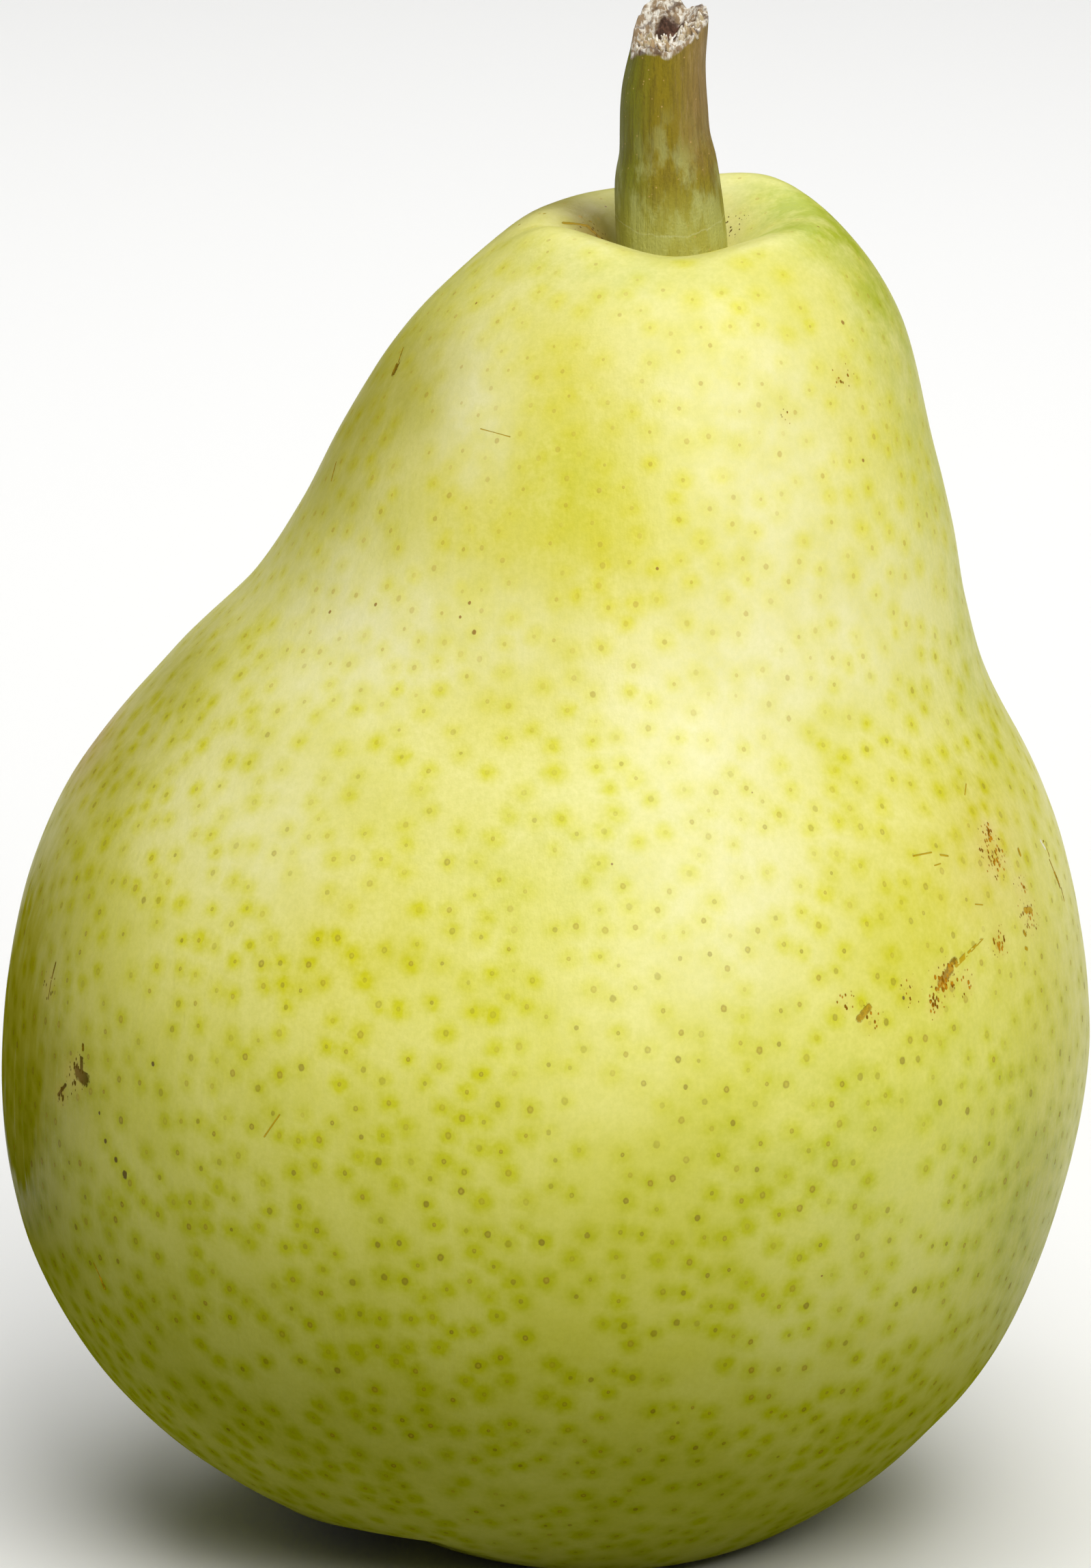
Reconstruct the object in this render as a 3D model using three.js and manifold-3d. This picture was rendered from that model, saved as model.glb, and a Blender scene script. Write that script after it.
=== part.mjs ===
// A pear standing on the small flat spot at its base: the fruit, its stem and the dried calyx in its eye.
// Millimetres, +Z up. The origin lies on the flat spot, and the fruit leans towards +X.
import * as THREE from "three";
import { mergeVertices } from "three/addons/utils/BufferGeometryUtils.js";
import Module from "manifold-3d";

const wasm = await Module();
wasm.setup();

// ---- Driving dimensions ----

const lean = THREE.MathUtils.degToRad(8.2); // the whole fruit tips towards +X
const foot = new THREE.Vector3(-6, 0, 0); // where the fruit's own axis starts
const gap = 0.3; // clearance between two pieces that touch
const stemRadius = 3.6; // in its socket
const eyeHeight = 5.1; // floor of the eye above the foot of the axis

// The fruit's outline about its own axis as [radius, height], from the floor of the eye basin,
// round the belly and over the crown to the edge of the stem's socket.
const fruitOutline = [
  [0, eyeHeight],
  [2.6, 4.9],
  [4.6, 3.8],
  [5.9, 2.2],
  [7.4, 0.8],
  [10.2, 0.5],
  [14.6, 1.3],
  [20.8, 3.3],
  [26.1, 7.3],
  [29.8, 11.6],
  [32.8, 16.6],
  [34.8, 23],
  [35.8, 31],
  [35.5, 39],
  [33.2, 47],
  [29.3, 54.4],
  [24.7, 61],
  [22.2, 66.4],
  [20.3, 72],
  [17.8, 78],
  [15.3, 83],
  [12.1, 87],
  [9.3, 89.2],
  [6.8, 89],
  [5, 87.8],
  [stemRadius + gap, 86.4],
];
const fruitRings = 58;
const fruitSides = 66;
const socketDepth = 3.6;

// Sideways bow of the fruit's axis, at even steps from its base up to bowHeight
const bow = [-0.8, -1.2, -1.2, -1.1, -1, -0.8, -0.15, -0.1, 0, 0, -0.4];
const bowHeight = 90;

// The eye sits off the axis, and five low lobes with sharp valleys run into it.
const eyeShift = new THREE.Vector2(-4.5, -0.8);
const lobeCount = 5;
const lobeDepth = 1.1;
const valleyTurn = THREE.MathUtils.degToRad(262);
const meanLobe = 0.6;
// Where the relief of the base fades in or out, as [from, to]
const baseHeights = [6, 16];
const baseRadii = [14, 26];
const lobeRadii = [3, 8];
const eyeRadii = [8, 22];

// The crown is level although the fruit leans.
const crownSlope = 0.14;
const crownHeights = [76, 88];
const baseSlope = 0.045; // the base tips a little further than the rest

// Raised and sunk places: where each is about the fruit's own axis, how far it spreads and how far it rises
const swells = [
  { at: [5, 8, 89], spread: [5, 5, 9], rise: 1.2 }, // shoulder behind the stem
  { at: [-7, -0.6, 89], spread: [4, 1.5, 6], rise: -0.7 }, // crease running out of the stem's hollow
  { at: [6, 34, 42], spread: [15, 14, 20], rise: -1 }, // flattened back
  { at: [-20, 16, 66], spread: [12, 12, 12], rise: -0.6 }, // hollow behind the neck
  { at: [4, -20, 74], spread: [9, 10, 12], rise: 0.5 }, // fullness at the front of the neck
  { at: [0.3, -8, 89.5], spread: [4.5, 3.5, 5], rise: -1 }, // dip in the lip in front of the stem
];
const heart = new THREE.Vector3(0, 0, 38); // swells push straight away from here

// The stem about its own foot as [radius, height]; its top is torn off aslant.
const stemFoot = new THREE.Vector3(5.8, 0, 82.4);
const stemOutline = [
  [3.2, 0],
  [3.55, 0.7],
  [stemRadius, 4.7],
  [3.52, 7.3],
  [3.34, 9.9],
  [2.98, 11.8],
  [2.87, 13.8],
  [2.74, 16.6],
  [2.5, 19.7],
];
const stemBow = [0, 0.25, 0.05, -0.2, -0.35, -0.4, 0];
const stemRings = 20;
const stemSides = 30;
// Height of the torn edge at even turns anticlockwise from +X, and the torn face that it rings
const tornEdge = [19.5, 19.9, 19.6, 20.2, 20.1, 18.6, 16.9, 17.3, 17.5, 17.5, 18.3, 19.1];
const tornRings = [0.84, 0.66, 0.42, 0.2, 0];
const tornMiddle = 18.7;
const pithDepth = 1.1;
const faceStart = 0.999; // share of the stem's length above which a point lies on the torn face

// The calyx hangs from the floor of the eye: a low cup, five dry sepals and a tuft of styles.
const calyxHeight = eyeHeight - 2 * gap;
const cupSides = 20;
const cupOutline = [
  [0, 0],
  [1.9, 0],
  [2.2, -0.5],
  [1.7, -1.1],
  [0, -1],
];
const sepal = {
  count: 5,
  length: 4.2,
  width: 2.6,
  tip: 0.24,
  bluntness: 0.7,
  thickness: 0.6,
  cupping: 0.1,
  stations: 7,
};
const sepalPath = [
  [1, -0.55],
  [3.4, -0.6],
  [4.1, -3.4],
];
const style = { count: 6, length: 1.7, radius: 0.3, taper: 0.6, sides: 5, ring: 0.8, root: -0.7 };

const materials = {
  skin: new THREE.MeshStandardMaterial({ color: 0xd3d170, roughness: 0.42, metalness: 0 }),
  bark: new THREE.MeshStandardMaterial({ color: 0x84792f, roughness: 0.7, metalness: 0 }),
  driedLeaf: new THREE.MeshStandardMaterial({ color: 0x4a3a24, roughness: 0.9, metalness: 0 }),
};

// ---- Helpers ----

const smooth = ([from, to], value) => THREE.MathUtils.smoothstep(value, from, to);

function splineOf(points) {
  return new THREE.SplineCurve(points.map(([across, up]) => new THREE.Vector2(across, up)));
}

// A value that runs smoothly through evenly spaced ones, with share from 0 to 1
function along(values, share) {
  const curve = new THREE.SplineCurve(values.map((value, i) => new THREE.Vector2(i, value)));
  return curve.getPoint(THREE.MathUtils.clamp(share, 0, 1)).y;
}

// Keeps only the positions, shares the vertices and drops triangles that have shrunk to nothing.
function closed(geometry) {
  geometry.deleteAttribute("normal");
  geometry.deleteAttribute("uv");
  const merged = mergeVertices(geometry, 1e-4);
  const corners = merged.index.array;
  const kept = [];
  for (let i = 0; i < corners.length; i += 3) {
    const [a, b, c] = corners.subarray(i, i + 3);
    if (a !== b && b !== c && c !== a) kept.push(a, b, c);
  }
  merged.setIndex(kept);
  return merged;
}

function reshaped(geometry, move) {
  const places = geometry.attributes.position;
  const point = new THREE.Vector3();
  for (let i = 0; i < places.count; i++) {
    move(point.fromBufferAttribute(places, i));
    places.setXYZ(i, point.x, point.y, point.z);
  }
  geometry.computeVertexNormals();
  return geometry;
}

const turned = (outline, sides) => closed(new THREE.LatheGeometry(outline, sides).rotateX(Math.PI / 2));

function solidOf(geometry) {
  const { position } = geometry.attributes;
  const mesh = new wasm.Mesh({
    numProp: 3,
    vertProperties: new Float32Array(position.array),
    triVerts: new Uint32Array(geometry.index.array),
  });
  return new wasm.Manifold(mesh);
}

function geometryOf(solid) {
  const { vertProperties, triVerts } = solid.getMesh();
  const geometry = new THREE.BufferGeometry();
  geometry.setAttribute("position", new THREE.BufferAttribute(new Float32Array(vertProperties), 3));
  geometry.setIndex(Array.from(triVerts));
  geometry.computeVertexNormals();
  return geometry;
}

function named(name, geometry, material) {
  const mesh = new THREE.Mesh(geometry, material);
  mesh.name = name;
  return mesh;
}

// ---- Fruit ----

function fruitRelief(point) {
  const turn = Math.atan2(point.y, point.x);
  const radius = Math.hypot(point.x, point.y);
  const height = point.z;
  const nearBase = 1 - smooth(baseHeights, height);
  const onBase = (1 - smooth(baseRadii, radius)) * nearBase;

  for (const { at, spread, rise } of swells) {
    const far = Math.hypot(...point.toArray().map((value, axis) => (value - at[axis]) / spread[axis]));
    const away = point.clone().sub(heart).normalize();
    point.addScaledVector(away, rise * Math.exp(-far * far));
  }
  point.z += crownSlope * point.x * smooth(crownHeights, height);

  const lobe = Math.abs(Math.sin((lobeCount / 2) * (turn - valleyTurn))) - meanLobe;
  point.z -= baseSlope * point.x * onBase;
  point.z -= lobeDepth * lobe * smooth(lobeRadii, radius) * onBase;

  const shifted = (1 - smooth(eyeRadii, radius)) * nearBase;
  point.x += eyeShift.x * shifted + along(bow, height / bowHeight);
  point.y += eyeShift.y * shifted;
}

// From the fruit's own axis to where it stands
function leaned(point) {
  return point.applyAxisAngle(new THREE.Vector3(0, 1, 0), lean).add(foot);
}

function makeFruit() {
  const skin = splineOf(fruitOutline).getSpacedPoints(fruitRings);
  skin[0].x = 0;
  const edge = skin[fruitRings];
  const floor = edge.y - socketDepth;
  const outline = [...skin, new THREE.Vector2(edge.x, floor), new THREE.Vector2(0, floor)];
  const geometry = reshaped(turned(outline, fruitSides), (point) => {
    fruitRelief(point);
    leaned(point);
    point.z = Math.max(point.z, 0); // the flat spot
  });
  return named("fruit", geometry, materials.skin);
}

// ---- Stem ----

function makeStem() {
  const bark = splineOf(stemOutline).getSpacedPoints(stemRings);
  const top = bark[stemRings];
  const face = tornRings.map((share) => new THREE.Vector2(top.x * share, top.y));
  const outline = [new THREE.Vector2(0, 0), ...bark, ...face];
  const geometry = reshaped(turned(outline, stemSides), (point) => {
    const turn = (Math.atan2(point.y, point.x) / (2 * Math.PI) + 1) % 1;
    const edge = along([...tornEdge, tornEdge[0]], turn);
    const climb = point.z / top.y;
    const share = Math.min(Math.hypot(point.x, point.y) / top.x, 1);
    const torn = THREE.MathUtils.lerp(tornMiddle, edge, share) - pithDepth * (1 - share) ** 2;
    point.z = climb * (climb > faceStart ? torn : edge);
    point.x += along(stemBow, climb);
  });
  const mesh = named("stem", geometry, materials.bark);
  mesh.position.copy(stemFoot);
  return mesh;
}

// ---- Calyx ----

// One sepal lies along +X as a pointed blade and is then laid along its path.
function makeSepal() {
  const { length, width, tip, bluntness, thickness, cupping, stations } = sepal;
  const half = (share) => (width / 2) * Math.cos((share * Math.PI) / 2) ** bluntness + tip / 2;
  const blade = new THREE.Shape();
  blade.moveTo(0, -half(0));
  for (let i = 1; i <= stations; i++) blade.lineTo((i / stations) * length, -half(i / stations));
  for (let i = stations; i >= 0; i--) blade.lineTo((i / stations) * length, half(i / stations));
  blade.closePath();
  const flat = closed(new THREE.ExtrudeGeometry(blade, { depth: thickness, bevelEnabled: false }));

  const [start, bend, end] = sepalPath.map(([out, up]) => new THREE.Vector2(out, up));
  const path = new THREE.QuadraticBezierCurve(start, bend, end);
  return reshaped(flat, (point) => {
    const share = THREE.MathUtils.clamp(point.x / length, 0, 1);
    const place = path.getPoint(share);
    const ahead = path.getTangent(share);
    const across = point.y;
    const deep = point.z - thickness / 2 + cupping * across * across;
    point.set(place.x - ahead.y * deep, across, place.y + ahead.x * deep);
  });
}

function makeCalyx() {
  let solid = solidOf(turned(cupOutline.map(([r, h]) => new THREE.Vector2(r, h)).reverse(), cupSides));
  for (let i = 0; i < sepal.count; i++) {
    solid = solid.add(solidOf(makeSepal().rotateZ((i * 2 * Math.PI) / sepal.count)));
  }
  for (let i = 0; i < style.count; i++) {
    const { radius, taper, length, sides, ring, root, count } = style;
    const spike = closed(new THREE.CylinderGeometry(radius, radius * taper, length, sides));
    spike.rotateX(Math.PI / 2).translate(ring, 0, root - length / 2);
    solid = solid.add(solidOf(spike.rotateZ(((i + 0.5) * 2 * Math.PI) / count)));
  }
  const mesh = named("calyx", geometryOf(solid), materials.driedLeaf);
  const place = leaned(new THREE.Vector3(eyeShift.x + bow[0], eyeShift.y, calyxHeight));
  mesh.position.copy(place);
  mesh.rotation.set(0, lean, 0);
  return mesh;
}

const pear = new THREE.Group();
pear.add(makeFruit(), makeStem(), makeCalyx());

export default pear;
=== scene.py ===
from math import cos, pi, radians, sin

import bpy
import numpy as np
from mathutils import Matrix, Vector, noise
from mathutils.bvhtree import BVHTree
from mathutils.kdtree import KDTree


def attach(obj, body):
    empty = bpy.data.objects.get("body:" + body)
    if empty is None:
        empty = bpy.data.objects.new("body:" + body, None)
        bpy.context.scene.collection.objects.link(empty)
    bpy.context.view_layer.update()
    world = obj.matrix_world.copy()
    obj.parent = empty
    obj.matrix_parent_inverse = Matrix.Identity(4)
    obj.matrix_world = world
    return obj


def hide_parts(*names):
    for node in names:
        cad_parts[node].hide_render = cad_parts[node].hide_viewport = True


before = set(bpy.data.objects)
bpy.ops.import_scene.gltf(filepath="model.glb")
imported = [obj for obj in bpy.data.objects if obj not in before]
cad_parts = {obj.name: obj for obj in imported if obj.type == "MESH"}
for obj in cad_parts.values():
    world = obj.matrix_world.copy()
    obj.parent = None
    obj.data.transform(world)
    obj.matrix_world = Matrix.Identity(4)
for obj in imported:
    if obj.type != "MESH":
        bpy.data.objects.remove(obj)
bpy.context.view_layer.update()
mm = 0.001  # values below are in millimetres, and the meshes in metres


def deselectAll():
    bpy.ops.object.select_all(action="DESELECT")


def joined(pieces, name):
    deselectAll()
    for piece in pieces:
        piece.select_set(True)
    bpy.context.view_layer.objects.active = pieces[0]
    bpy.ops.object.join()
    pieces[0].name = name
    return pieces[0]


def smoothStep(start, end, value):
    share = np.clip((value - start) / (end - start), 0, 1)
    return share * share * (3 - 2 * share)


def fade(first, last, ends, value):
    # from first to last, while the value goes from one end to the other
    return first + (last - first) * smoothStep(*ends, value)


def curveThrough(points, shares):
    # an even Catmull-Rom curve, sampled at shares from 0 to 1
    points = np.asarray(points, float)
    last = len(points) - 1
    place = np.clip(shares, 0, 1) * last
    i = np.minimum(place.astype(int), last - 1)
    w = (place - i)[:, None]
    before, here = points[np.maximum(i - 1, 0)], points[i]
    ahead, after = points[i + 1], points[np.minimum(i + 2, last)]
    leave, arrive = (ahead - before) / 2, (after - here) / 2
    cubic = (2 * here - 2 * ahead + leave + arrive) * w**3
    return cubic + (3 * ahead - 3 * here - 2 * leave - arrive) * w**2 + leave * w + here


def valueAlong(values, shares):
    pairs = np.stack([np.arange(len(values)), values], axis=1)
    return curveThrough(pairs, shares)[:, 1]


def evenOutline(points, count):
    # the curve through the points, cut into equal steps
    dense = curveThrough(points, np.linspace(0, 1, 6000))
    run = np.concatenate([[0], np.cumsum(np.linalg.norm(np.diff(dense, axis=0), axis=1))])
    stops = np.linspace(0, run[-1], count + 1)
    return np.stack([np.interp(stops, run, dense[:, k]) for k in (0, 1)], axis=1)


def spinOutline(name, outline, sides):
    # one vertex drawn out along the outline, then spun about the upright axis
    deselectAll()
    bpy.ops.mesh.primitive_plane_add(size=mm)
    piece = bpy.context.object
    piece.name = name
    piece.data.name = name
    bpy.ops.object.mode_set(mode="EDIT")
    bpy.ops.mesh.merge(type="CENTER")
    places = np.stack([outline[:, 0], 0 * outline[:, 0], outline[:, 1]], axis=1) * mm
    bpy.ops.transform.translate(value=tuple(places[0]))
    for step in np.diff(places, axis=0):
        bpy.ops.mesh.extrude_region_move(TRANSFORM_OT_translate={"value": tuple(step)})
    bpy.ops.mesh.select_all(action="SELECT")
    bpy.ops.mesh.spin(steps=sides, angle=2 * pi, center=(0, 0, 0), axis=(0, 0, 1))
    bpy.ops.mesh.select_all(action="SELECT")
    bpy.ops.mesh.remove_doubles(threshold=2e-6)
    bpy.ops.mesh.normals_make_consistent(inside=False)
    bpy.ops.object.mode_set(mode="OBJECT")
    bpy.ops.object.shade_smooth()
    return piece


def valuesOf(items, key, size):
    flat = np.empty(len(items) * size)
    items.foreach_get(key, flat)
    return flat


def placesOf(piece):
    return valuesOf(piece.data.vertices, "co", 3).reshape(-1, 3) / mm


def setPlaces(piece, places):
    piece.data.vertices.foreach_set("co", (places * mm).ravel())
    piece.data.update()


def faceCentres(piece):
    return valuesOf(piece.data.polygons, "center", 3).reshape(-1, 3) / mm


def finderOf(places):
    finder = KDTree(len(places))
    for k, place in enumerate(places):
        finder.insert(place, k)
    finder.balance()
    return finder


def giveAttribute(piece, name, domain, values):
    values = np.asarray(values, dtype=np.float32)
    kind, key = ("FLOAT_VECTOR", "vector") if values.ndim == 2 else ("FLOAT", "value")
    attribute = piece.data.attributes.new(name, kind, domain)
    attribute.data.foreach_set(key, values.ravel())


def giveNearest(piece, nearest, lists):
    # every face takes the values of the thing that lies nearest to it
    for name, values in lists.items():
        giveAttribute(piece, name, "FACE", np.asarray(values)[nearest])


def noiseAt(places, size, seed):
    shift = Vector((seed * 7.3, seed * 3.1, seed * 5.7))
    return np.array([noise.noise(Vector(place) / size + shift) for place in places])


def colour(code):
    parts = [int(code[k:k + 2], 16) / 255 for k in (0, 2, 4)]
    return tuple(c / 12.92 if c <= 0.04045 else ((c + 0.055) / 1.055) ** 2.4 for c in parts) + (1,)


def coloursOf(values):
    return {name: colour(code) for name, code in values["colours"].items()}


class Finish:
    # a material with its principled shader, and short ways to add nodes to it
    def __init__(self, name):
        self.material = bpy.data.materials.new(name)
        self.material.use_nodes = True
        self.tree = self.material.node_tree
        self.shader = self.tree.nodes["Principled BSDF"]
        self.place = self.add("ShaderNodeTexCoord").outputs["Object"]

    def add(self, kind, inputs=None, **settings):
        node = self.tree.nodes.new(kind)
        for key, value in settings.items():
            setattr(node, key, value)
        for key, value in (inputs or {}).items():
            self.put(node.inputs[key], value)
        return node

    def put(self, socket, value):
        if isinstance(value, bpy.types.NodeSocket):
            self.tree.links.new(value, socket)
        else:
            socket.default_value = value

    def finished(self, inputs):
        # puts the values and nodes on the shader
        for name, value in inputs.items():
            self.put(self.shader.inputs[name], value)
        return self.material

    def math(self, operation, a, b=0, clamp=False):
        return self.add("ShaderNodeMath", {0: a, 1: b}, operation=operation, use_clamp=clamp).outputs[0]

    def times(self, a, b, clamp=False):
        return self.math("MULTIPLY", a, b, clamp)

    def plus(self, a, b):
        return self.math("ADD", a, b)

    def most(self, a, b):
        return self.math("MAXIMUM", a, b)

    def vector(self, operation, a, b=(0, 0, 0)):
        node = self.add("ShaderNodeVectorMath", {0: a, 1: b}, operation=operation)
        return node.outputs["Value"] if operation in ("LENGTH", "DOT_PRODUCT") else node.outputs["Vector"]

    def parts(self, vector):
        return self.add("ShaderNodeSeparateXYZ", {0: vector}).outputs

    def attribute(self, name, output="Fac"):
        return self.add("ShaderNodeAttribute", attribute_name=name).outputs[output]

    def awayFrom(self, name):
        # distance from the place that the attribute holds
        return self.vector("LENGTH", self.vector("SUBTRACT", self.place, self.attribute(name, "Vector")))

    def noise(self, size, detail, upwards=1, roughness=0.5):
        # an upwards value below 1 draws it out along the height
        place = self.place if upwards == 1 else self.vector("MULTIPLY", self.place, (1, 1, upwards))
        inputs = {"Vector": place, "Scale": 1 / (size * mm), "Detail": detail, "Roughness": roughness}
        return self.add("ShaderNodeTexNoise", inputs).outputs["Fac"]

    def layer(self, values, name):
        # size, detail, upwards and roughness of a noise, the part of it used, and what that becomes
        noiseValues, ends, *out = values["layers"][name]
        return self.rangeOf(self.noise(*noiseValues), *ends, *out)

    def sway(self, fac, depth):
        # a noise moved to both sides of zero
        return self.times(self.math("SUBTRACT", fac, 0.5), depth)

    def cells(self, size, place=None):
        inputs = {"Vector": place or self.place, "Scale": 1 / (size * mm)}
        return self.add("ShaderNodeTexVoronoi", inputs).outputs

    def rangeOf(self, value, low, high, out=(0, 1)):
        inputs = {"Value": value, "From Min": low, "From Max": high, "To Min": out[0], "To Max": out[1]}
        return self.add("ShaderNodeMapRange", inputs, interpolation_type="SMOOTHSTEP").outputs["Result"]

    def span(self, length, ends, out=(0, 1)):
        # the same for a length, with its ends in millimetres
        return self.rangeOf(length, ends[0] * mm, ends[1] * mm, out)

    def mix(self, factor, a, b, blend="MIX"):
        node = self.add("ShaderNodeMix", data_type="RGBA", blend_type=blend, clamp_factor=True)
        for key, value in (("Factor_Float", factor), ("A_Color", a), ("B_Color", b)):
            self.put(next(s for s in node.inputs if s.identifier == key), value)
        return next(s for s in node.outputs if s.identifier == "Result_Color")

    def shade(self, factor, a, tint):
        return self.mix(factor, a, tint, "MULTIPLY")

    def bump(self, height, distance=1):
        inputs = {"Height": height, "Distance": distance * mm, "Strength": 1}
        return self.add("ShaderNodeBump", inputs).outputs["Normal"]


fruitValues = {
    # radius and height about the fruit's own axis, from the floor of the eye to the stem's socket
    "outline": [
        (0, 5.1), (2.6, 4.9), (4.6, 3.8), (5.9, 2.2), (7.4, 0.8), (10.2, 0.5), (14.6, 1.3), (20.8, 3.3),
        (26.1, 7.3), (29.8, 11.6), (32.8, 16.6), (34.8, 23), (35.8, 31), (35.5, 39), (33.2, 47),
        (29.3, 54.4), (24.7, 61), (22.2, 66.4), (20.3, 72), (17.8, 78), (15.3, 83), (12.1, 87),
        (9.3, 89.2), (6.8, 89), (5, 87.8), (3.9, 86.4),
    ],
    "socket": [(3.1, 85.7), (3, 84.9), (0, 84.9)],  # hidden under the stem
    "rings": 296,
    "sides": 320,
    "lean": 8.2,  # degrees towards +X
    "foot": (-6, 0),  # where the fruit's axis meets the floor
    "bow": [-0.8, -1.2, -1.2, -1.1, -1, -0.8, -0.15, -0.1, 0, 0, -0.4],  # sideways, from the floor up
    "bowHeight": 90,
    "eyeShift": (-4.5, -0.8),
    "lobes": 5,
    "lobeDepth": 1.1,
    "meanLobe": 0.6,
    "valley": 262,  # bearing of one crease between two lobes
    "crownSlope": 0.14,
    "baseSlope": 0.045,
    # heights and radii between which each of these comes in or fades out
    "crownHeights": (76, 88),
    "baseHeights": (6, 16),
    "baseRadii": (14, 26),
    "lobeRadii": (3, 8),
    "eyeRadii": (8, 22),
    "heart": (0, 0, 38),  # the swells and waves lift the skin away from here
    "swells": [  # place, spread and rise
        ((5, 8, 89), (5, 5, 9), 1.2),
        ((-7, -0.6, 89), (4, 1.5, 6), -0.7),
        ((6, 34, 42), (15, 14, 20), -1),
        ((-20, 16, 66), (12, 12, 12), -0.6),
        ((4, -20, 74), (9, 10, 12), 0.5),
        ((0.3, -8, 89.5), (4.5, 3.5, 5), -1),
    ],
    "waves": [(11, 0.16), (4.5, 0.05)],  # size and depth of the slight unevenness of the skin
    "waveHeights": (2, 9),
}


def leaned(places):
    turn = radians(fruitValues["lean"])
    x, y, z = places.T
    out = np.stack([x * cos(turn) + z * sin(turn), y, z * cos(turn) - x * sin(turn)], axis=1)
    return out + (*fruitValues["foot"], 0)


def outward(places):
    away = places - fruitValues["heart"]
    return away / np.linalg.norm(away, axis=1)[:, None]


def fruitRelief(places):
    v = fruitValues
    turn = np.arctan2(places[:, 1], places[:, 0])
    radius = np.hypot(places[:, 0], places[:, 1])
    height = places[:, 2].copy()
    nearBase = 1 - smoothStep(*v["baseHeights"], height)
    onBase = (1 - smoothStep(*v["baseRadii"], radius)) * nearBase
    for at, spread, rise in v["swells"]:
        far = np.linalg.norm((places - at) / spread, axis=1)
        places = places + outward(places) * (rise * np.exp(-far * far))[:, None]
    places[:, 2] += v["crownSlope"] * places[:, 0] * smoothStep(*v["crownHeights"], height)
    lobe = np.abs(np.sin(v["lobes"] / 2 * (turn - radians(v["valley"])))) - v["meanLobe"]
    places[:, 2] -= v["baseSlope"] * places[:, 0] * onBase
    places[:, 2] -= v["lobeDepth"] * lobe * smoothStep(*v["lobeRadii"], radius) * onBase
    shifted = (1 - smoothStep(*v["eyeRadii"], radius)) * nearBase
    places[:, 0] += v["eyeShift"][0] * shifted + valueAlong(v["bow"], height / v["bowHeight"])
    places[:, 1] += v["eyeShift"][1] * shifted
    return places


def makeFruit():
    v = fruitValues
    outline = np.concatenate([evenOutline(v["outline"], v["rings"]), v["socket"]])
    piece = spinOutline("pearFruit", outline, v["sides"])
    places = leaned(fruitRelief(placesOf(piece)))
    away = outward(places)
    for k, (size, depth) in enumerate(v["waves"]):
        wave = noiseAt(places, size, k + 1) * depth * smoothStep(*v["waveHeights"], places[:, 2])
        places += away * wave[:, None]
    places[:, 2] = np.maximum(places[:, 2], 0)  # the flat spot it rests on
    setPlaces(piece, places)
    print("fruit:", len(piece.data.polygons), "faces")
    return piece


# the lenticels, dots all over the skin, each with a green halo
spotValues = {
    "seed": 4,
    "apart": 1.3,  # least distance between two
    "tries": 2.1,  # draws for each that is wanted, because many fall too close to another
    "heights": [0, 8, 20, 40, 62, 80, 87, 90],  # where the next three lists hold
    "density": [0.3, 0.28, 0.25, 0.25, 0.28, 0.32, 0.18, 0.05],  # wanted to the square millimetre
    "radius": [0.11, 0.13, 0.16, 0.165, 0.14, 0.125, 0.11, 0.1],
    "halo": [1.15, 1.3, 1.4, 1, 0.82, 0.74, 0.6, 0.2],  # how green the skin is round them
    "radiusRange": (0.7, 1.35),
    "kindRange": (0, 0.9),  # from a pale middle to a dark one
    "toneRange": (0.15, 0.5),
    "toneFade": (1.3, 0.8, (36, 58)),  # factor low down, factor higher up, and the heights between
    "haloRange": (0.6, 1.2),
    "haloLeft": (0, 0.35, (-20, -29)),  # stronger towards the left edge
    "haloDrift": (11, 6, 0.6),  # size, seed and depth of a slow change over the skin
    "haloLimit": 1.35,
    "reachRange": (1.05, 1.45),
    "reachFade": (1.06, 1, (22, 42)),
    "pitTone": 0.85,
    "pits": [  # dark pits, as seen from the front, and their radius
        ((-6.9, 65.6), 0.14), ((-7.8, 66.4), 0.09), ((-7.2, 67.3), 0.1), ((17, 83.4), 0.14),
        ((18.3, 75), 0.11), ((4.9, 70), 0.09), ((-13.3, 66.3), 0.11), ((-6.8, 84.1), 0.09),
        ((-30.2, 30.8), 0.16), ((-29.6, 30), 0.24), ((-30.9, 31.8), 0.14), ((-27.7, 37.9), 0.14),
        ((-31.3, 33.5), 0.1), ((20.8, 42.7), 0.11), ((15.5, 88.3), 0.08), ((-16.3, 65.2), 0.11),
    ],
}


def onSkin(surface, at):
    # the place on the skin that shows at x, z from the front, or that is nearest to x, y, z
    if len(at) == 3:
        return np.array(surface.find_nearest(Vector(at) * mm)[0]) / mm
    hit = surface.ray_cast(Vector((at[0] * mm, -1, at[1] * mm)), Vector((0, 1, 0)))[0]
    return np.array(hit) / mm


def scatterSpots(centres, areas, pits, random):
    v = spotValues
    order = np.lexsort(np.round(centres, 3).T)  # the same draw every time
    centres, areas = centres[order], areas[order]
    chance = areas * np.interp(centres[:, 2], v["heights"], v["density"])
    tries = int(chance.sum() * v["tries"])
    drawn = random.choice(len(centres), size=tries, replace=False, p=chance / chance.sum())
    kept, cells = [], {}

    def takes(place):
        # whether the place is free, and if so it is free no more
        cell = tuple(np.floor(place / v["apart"]).astype(int))
        steps = (-1, 0, 1)
        near = [(cell[0] + a, cell[1] + b, cell[2] + c) for a in steps for b in steps for c in steps]
        for other in (p for key in near for p in cells.get(key, ())):
            if sum((place - other) ** 2) < v["apart"] ** 2:
                return False
        cells.setdefault(cell, []).append(place)
        return True

    for place in list(pits) + [centres[k] for k in drawn]:
        if takes(place) or len(kept) < len(pits):
            kept.append(place)
    return np.array(kept)


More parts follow.
